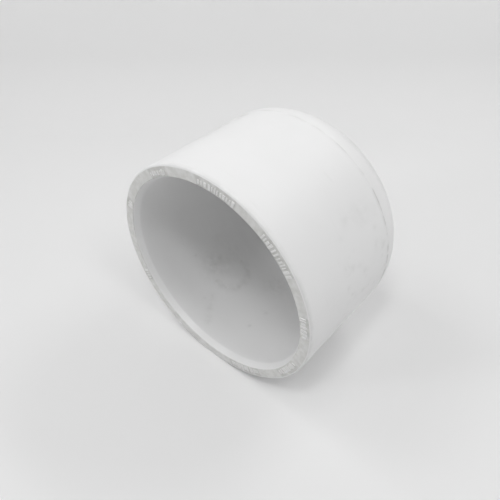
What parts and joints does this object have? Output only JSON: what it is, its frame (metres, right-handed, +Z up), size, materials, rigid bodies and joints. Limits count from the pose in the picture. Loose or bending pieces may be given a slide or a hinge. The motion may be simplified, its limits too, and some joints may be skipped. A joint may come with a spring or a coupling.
{
  "type": "pipe cap",
  "caption": "Round-shouldered socket cap that slips over a pipe end and is solvent-cemented to close it, with a tapered socket and a lead-in at its mouth.",
  "frame": {"origin": "on the surface that the cap lies on, under the middle of its length", "axes": "+Y along the cap's axis, from the open mouth to the closed end; +Z up, with the cap lying on its side; +X to the right seen from the mouth"},
  "size_m": [0.1016, 0.073, 0.1016],
  "materials": {
    "white_pvc": "white rigid PVC as moulded: satin to semi-gloss, faint flow marks, light handling scuffs and a little grime along the shoulder line"
  },
  "bodies": {
    "root": {"cap_body": "white_pvc"}
  },
  "joints": []
}
